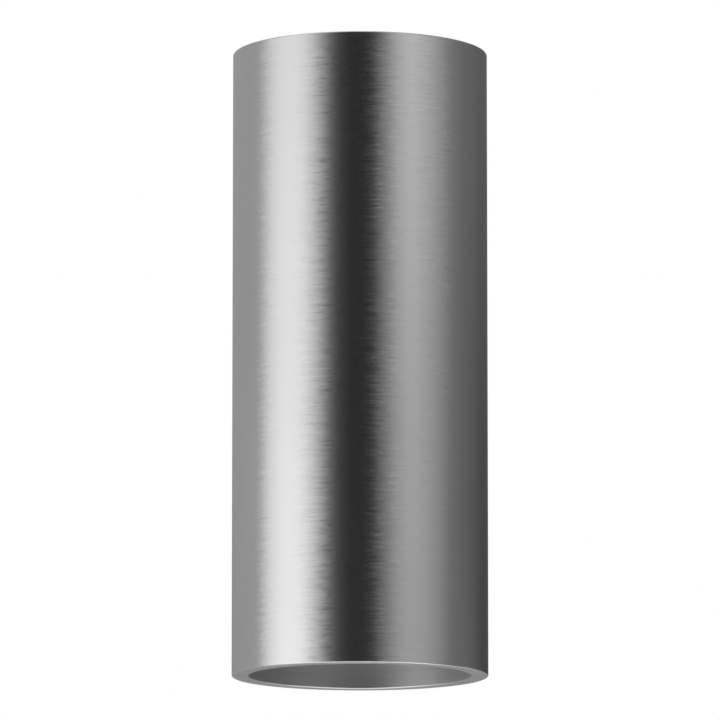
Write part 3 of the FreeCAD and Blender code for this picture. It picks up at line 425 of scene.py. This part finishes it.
def mesh_piece(name, mesh, look):
    """Makes a bmesh an object, smooth but for its sharp edges."""
    data = bpy.data.meshes.new(name)
    mesh.to_mesh(data)
    mesh.free()
    data.materials.append(look.material)
    piece = add_object(name, data)
    data.shade_smooth()
    data.set_sharp_from_angle(angle=SHARP)
    return piece


def stands_for(piece, node, body):
    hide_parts(node)
    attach(piece, body)


def lathe(profile, segments, closed):
    """Turns a profile of (radius, z) round the tube's axis. One that isn't closed gets a flat at each end."""
    mesh = bmesh.new()
    turns = [2 * math.pi * i / segments for i in range(segments)]
    rings = [[mesh.verts.new((r * math.cos(turn), AXIS_Y + r * math.sin(turn), z)) for turn in turns]
             for r, z in profile]
    for near, far in zip(rings, rings[1:] + (rings[:1] if closed else [])):
        for k in range(segments):
            n = (k + 1) % segments
            mesh.faces.new((near[k], near[n], far[n], far[k]))
    if not closed:
        mesh.faces.new(rings[0][::-1])
        mesh.faces.new(rings[-1])
    mesh.normal_update()
    return mesh


TUBE_WALL = 0.00425
TUBE_SEGMENTS = 512
RIM_ROUND = 0.0004
RIM_STEPS = 6
# The holes through the tube's back, for the wires and for the two body screws: height and radius of each
HOLES = ((0.0, 0.0075), (0.034, 0.00225), (-0.034, 0.00225))
DRILL_SEGMENTS = 64
DRILL_LENGTH = 0.02
# From the tube's axis back to the drill's middle, which lies in the wall
DRILL_BACK = 0.03
# Faces of the tube that look up or down by more than this belong to the rims
RIM_SLOPE = 0.3
BORE, RIM = 1, 2


def tube_profile(outer, inner, low_z, high_z):
    """The wall's section, its four corners rounded."""
    corners = ((outer, low_z, -1, 1, 270), (outer, high_z, -1, -1, 0),
               (inner, high_z, 1, -1, 90), (inner, low_z, 1, 1, 180))
    profile = []
    for r, z, in_r, in_z, start in corners:
        for i in range(RIM_STEPS + 1):
            turn = math.radians(start + 90 * i / RIM_STEPS)
            profile.append((r + RIM_ROUND * (in_r + math.cos(turn)), z + RIM_ROUND * (in_z + math.sin(turn))))
    return profile


def drill_hole(piece, z, radius):
    cutter = bmesh.new()
    bmesh.ops.create_cone(cutter, cap_ends=True, segments=DRILL_SEGMENTS, radius1=radius, radius2=radius,
                          depth=DRILL_LENGTH, matrix=shift(0, AXIS_Y + DRILL_BACK, z) @ spin(90, "X"))
    drill = mesh_piece("drill", cutter, LOOKS["tube_steel"])
    cut = piece.modifiers.new("hole", "BOOLEAN")
    cut.operation = "DIFFERENCE"
    cut.solver = "EXACT"
    cut.object = drill
    with bpy.context.temp_override(object=piece, active_object=piece):
        bpy.ops.object.modifier_apply(modifier=cut.name)
    bpy.data.objects.remove(drill)


def make_tube():
    """The tube with rounded rims and its holes, brushed outside, drawn inside and faced at its ends."""
    low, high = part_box("tube")
    outer = (high.x - low.x) / 2
    profile = tube_profile(outer, outer - TUBE_WALL, low.z, high.z)
    piece = mesh_piece("tube_brushed", lathe(profile, TUBE_SEGMENTS, closed=True), LOOKS["tube_steel"])
    for z, radius in HOLES:
        drill_hole(piece, z, radius)
    piece.data.set_sharp_from_angle(angle=SHARP)
    for look in (tube_bore(), turned_ring("tube_rim", 0.80, 0.34, anisotropic=0.3)):
        piece.data.materials.append(look.material)
    for face in piece.data.polygons:
        if abs(face.normal.z) > RIM_SLOPE:
            face.material_index = RIM
        elif math.hypot(face.center.x, face.center.y - AXIS_Y) < outer - TUBE_WALL / 2:
            face.material_index = BORE
    stands_for(piece, "tube", "fixture")


make_tube()

# What keeps glasses and lenses clear of their neighbours' facets
CLEAR = 0.00006
LENS_RINGS = 96
LENS_SEGMENTS = 192
# The share of the lens's radius that has lenslets
LENSLET_FIELD = 0.96
LENSLET_PITCH = 0.0041
LENSLET_DEPTH = 0.00055
# Between the rows of a hexagonal field
LENSLET_ROW = LENSLET_PITCH * 0.866


def lens_depth(x, y, field):
    """How far a lens's outer face lies below its highest points, with lenslets inside the field's radius."""
    fade = min(1.0, max(0.0, (field - math.hypot(x, y)) / LENSLET_PITCH))
    if fade == 0.0:
        return 0.0
    row = round(y / LENSLET_ROW)
    nearest = 1.0
    for r in (row - 1, row, row + 1):
        shifted = LENSLET_PITCH / 2 if r % 2 else 0.0
        column = round((x - shifted) / LENSLET_PITCH)
        for c in (column - 1, column, column + 1):
            away = math.hypot(x - c * LENSLET_PITCH - shifted, y - r * LENSLET_ROW)
            nearest = min(nearest, away / (LENSLET_PITCH / 2))
    return LENSLET_DEPTH * fade * nearest * nearest


def make_lens(end, side):
    """A disc with a hexagonal field of lenslets on its outer face, inside a plain rim."""
    low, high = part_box(f"lamp_lens_{end}")
    radius = (high.x - low.x) / 2 - CLEAR
    outer, inner = (low.z, high.z) if side < 0 else (high.z, low.z)
    inner += side * CLEAR
    mesh = bmesh.new()

    def level(r, turn):
        """A point of the outer face."""
        x, y = r * math.cos(turn), r * math.sin(turn)
        return mesh.verts.new((x, AXIS_Y + y, outer - side * lens_depth(x, y, radius * LENSLET_FIELD)))

    middle = level(0, 0)
    rings = [[level(radius * (i + 1) / LENS_RINGS, 2 * math.pi * k / LENS_SEGMENTS)
              for k in range(LENS_SEGMENTS)] for i in range(LENS_RINGS)]
    back = [mesh.verts.new((v.co.x, v.co.y, inner)) for v in rings[-1]]
    for k in range(LENS_SEGMENTS):
        n = (k + 1) % LENS_SEGMENTS
        mesh.faces.new((middle, rings[0][k], rings[0][n]))
        for near, far in zip(rings, rings[1:]):
            mesh.faces.new((near[k], far[k], far[n], near[n]))
        mesh.faces.new((rings[-1][k], back[k], back[n], rings[-1][n]))
    mesh.faces.new(back[::-1])
    bmesh.ops.recalc_face_normals(mesh, faces=mesh.faces)
    lens = mesh_piece(f"lens_{end}", mesh, LOOKS["lamp_lens"])
    lens.visible_shadow = False
    stands_for(lens, f"lamp_lens_{end}", f"{end}_lamp")


# How far a glass's edges are ground back
ARRIS = 0.00035
PANE_SEGMENTS = 256


def make_glass(end):
    """A disc with ground edges, a hair clear of the rubber round it."""
    low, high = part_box(f"glass_{end}")
    radius = (high.x - low.x) / 2 - CLEAR
    base, top = low.z + CLEAR, high.z - CLEAR
    profile = ((radius - ARRIS, base), (radius, base + ARRIS), (radius, top - ARRIS), (radius - ARRIS, top))
    pane = mesh_piece(f"pane_{end}", lathe(profile, PANE_SEGMENTS, closed=False), LOOKS["clear_glass"])
    pane.visible_shadow = False
    stands_for(pane, f"glass_{end}", f"{end}_glass_pack")


PHOSPHOR = phosphor()
CHIP = 0.0030
CHIP_HEIGHT = 0.0007
CHIP_ROUND = 0.0002
# Radius of each ring of chips, and how many it has
CHIP_RINGS = ((0.0, 1), (0.0062, 6), (0.0122, 12))


def make_emitters(end, side):
    """Small square emitters on the board, each a low tray of yellow gel."""
    low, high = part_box(f"lamp_led_board_{end}")
    face = low.z if side < 0 else high.z
    mesh = bmesh.new()
    for radius, count in CHIP_RINGS:
        for i in range(count):
            turn = 2 * math.pi * i / count
            at = shift(radius * math.cos(turn), AXIS_Y + radius * math.sin(turn), face + side * CHIP_HEIGHT / 2)
            bmesh.ops.create_cube(mesh, size=1.0, matrix=at @ Matrix.Diagonal((CHIP, CHIP, CHIP_HEIGHT, 1)))
    bmesh.ops.bevel(mesh, geom=mesh.edges[:], offset=CHIP_ROUND, segments=2, affect="EDGES")
    piece = mesh_piece(f"emitters_{end}", mesh, PHOSPHOR)
    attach(piece, f"{end}_lamp")


for end_name, end_side in ENDS.items():
    make_lens(end_name, end_side)
    make_glass(end_name)
    make_emitters(end_name, end_side)


# ---------------------------------------------------------------------------------------------------------
# Studio: a pale floor, white all round, reflecting cards and soft lamps
# ---------------------------------------------------------------------------------------------------------
FLOOR_Z = -2.6
FLOOR_RADIUS = 9.0
# The squared distances at which the floor starts to fade and is white
FADE_START, FADE_END = 0.6, 6.0


def make_floor():
    """A pale floor, which fades to the white around where it is seen."""
    mesh = bmesh.new()
    bmesh.ops.create_circle(mesh, cap_ends=True, segments=64, radius=FLOOR_RADIUS, matrix=shift(0, 0, FLOOR_Z))
    look = Look("floor", Roughness=0.9)
    look.colour(look.noise(3.0), grey(0.86), grey(0.88))
    far = look.span(look.off_axis(0.0), 0.0, 1.0, FADE_START, FADE_END, "SMOOTHSTEP")
    white = look.node("Emission", {"Color": WHITE, "Strength": 1.0})
    mixed = look.node("MixShader", {0: look.maths(far, look.seen(), "MULTIPLY"), 1: look.shader.outputs[0],
                                    2: white.outputs[0]})
    look.feed(look.output.inputs["Surface"], mixed.outputs[0])
    mesh_piece("floor", mesh, look)


# How bright the world is where no camera ray, reflection or refraction sees it
UNSEEN_LEVEL = 0.5


def make_world():
    """White where it is seen, straight or in metal and glass, and a plain soft light for the rest."""
    world = bpy.data.worlds.new("studio")
    world.use_nodes = True
    bpy.context.scene.world = world
    tree = Tree(world.node_tree)
    background = world.node_tree.nodes["Background"]
    background.inputs["Color"].default_value = WHITE
    tree.feed(background.inputs["Strength"], tree.span(tree.seen(), UNSEEN_LEVEL, 1.0))


# Azimuth round the tube, from the front, in degrees, and how bright the card there is low down and high up. The
# ends meet at the back.
CARDS = [(-180, 0.30, 0.40), (-99, 0.41, 0.39), (-92, 0.80, 0.62), (-84, 1.10, 0.92), (-69, 1.28, 0.99),
         (-52, 1.22, 0.94), (-42, 0.80, 0.66), (-34, 0.42, 0.34), (-26, 0.07, 0.06), (-18, 0.015, 0.02),
         (10, 0.012, 0.018), (23, 0.20, 0.26), (34, 0.38, 0.60), (46, 0.42, 0.80), (60, 0.37, 0.66),
         (78, 0.26, 0.44), (88, 0.14, 0.26), (110, 0.11, 0.19), (142, 0.055, 0.15), (158, 0.07, 0.16),
         (180, 0.30, 0.40)]
CARD_RADIUS = 0.32
CARD_TOP = 2.0
# The heights between which low down turns to high up
CARD_LOW, CARD_HIGH = -0.08, 0.22
# Flat sheets that show in the rims and the bore: name, place, width and height, and strength
SHEETS = (
    ("card_behind", shift(0, AXIS_Y + 0.29, -0.30) @ spin(90, "X"), (0.56, 0.36), 0.24),
    ("card_below", shift(0.125, AXIS_Y + 0.03, -0.42), (0.45, 0.28), 1.5),
    ("card_aside", shift(0, AXIS_Y, -0.34) @ spin(40, "Z") @ shift(0.28, 0, 0) @ spin(90, "Y"),
     (0.32, 0.34), 0.5),
)


def round_card():
    """One card all round the light, as bright at each azimuth and height as CARDS says."""
    mesh = bmesh.new()
    bmesh.ops.create_cone(mesh, cap_ends=False, segments=96, radius1=CARD_RADIUS, radius2=CARD_RADIUS,
                          depth=CARD_TOP - FLOOR_Z, matrix=shift(0, AXIS_Y, (CARD_TOP + FLOOR_Z) / 2))
    look = Look("cards")
    forward = look.maths(AXIS_Y, look.along("Y"), "SUBTRACT")
    azimuth = look.maths(look.along("X"), forward, "ARCTAN2")
    across = look.span(azimuth, 0.0, 1.0, -math.pi, math.pi)
    most = max(max(levels) for _, *levels in CARDS)
    low_down, high_up = (
        look.ramp(across, [((card[0] + 180) / 360, grey(card[which] / most)) for card in CARDS], "EASE")
        for which in (1, 2))
    up = look.span(look.along("Z"), 0.0, 1.0, CARD_LOW, CARD_HIGH, "SMOOTHSTEP")
    look.shine(look.blend(up, low_down, high_up), most)
    return mesh_piece("cards", mesh, look)


def sheet_card(name, at, size, strength):
    mesh = bmesh.new()
    bmesh.ops.create_grid(mesh, x_segments=1, y_segments=1, size=0.5,
                          matrix=at @ Matrix.Diagonal((*size, 1, 1)))
    look = Look(name)
    look.shine(WHITE, strength)
    return mesh_piece(name, mesh, look)


def make_cards():
    """Grey and black cards round the light, which show only in what reflects them."""
    for card in (round_card(), *(sheet_card(*sheet) for sheet in SHEETS)):
        for kind in ("camera", "diffuse", "transmission", "shadow", "volume_scatter"):
            setattr(card, f"visible_{kind}", False)


# Name, place, width and power in watts of each lamp
LAMPS = (
    ("key", (-1.1, -1.3, 1.2), 0.9, 16.0),
    ("fill", (1.4, -1.0, 0.5), 1.2, 8.0),
    ("back", (0.3, 1.6, 0.9), 1.2, 9.0),
)


def make_lamp(name, at, width, watts):
    """A square lamp that faces the light's middle and doesn't show in metal."""
    data = bpy.data.lights.new(name, "AREA")
    data.size = width
    data.energy = watts
    lamp = add_object(name, data)
    lamp.location = at
    towards = Vector((0, AXIS_Y, 0)) - Vector(at)
    lamp.rotation_euler = towards.to_track_quat("-Z", "Y").to_euler()
    lamp.visible_glossy = False
    lamp.visible_camera = False


# The camera that was fitted to the photograph's outline: distance in front of the tube's axis, height, upward
# tilt in degrees, and lens and sensor width in millimetres
CAMERA_AWAY = 1.8899
CAMERA_Z = -0.2914
CAMERA_TILT = 8.797
CAMERA_LENS = 375.4
CAMERA_SENSOR = 36.0


def make_camera():
    """The photograph's view: from the front, a little below, with a long lens."""
    data = bpy.data.cameras.new("camera")
    data.sensor_width = CAMERA_SENSOR
    data.lens = CAMERA_LENS
    data.clip_start, data.clip_end = 0.05, 50.0
    camera = add_object("camera", data)
    camera.location = (0, AXIS_Y - CAMERA_AWAY, CAMERA_Z)
    camera.rotation_euler = (math.radians(90 + CAMERA_TILT), 0, 0)
    bpy.context.scene.camera = camera


make_floor()
make_world()
make_cards()
for lamp_facts in LAMPS:
    make_lamp(*lamp_facts)
make_camera()
bpy.context.scene.view_settings.view_transform = "Standard"
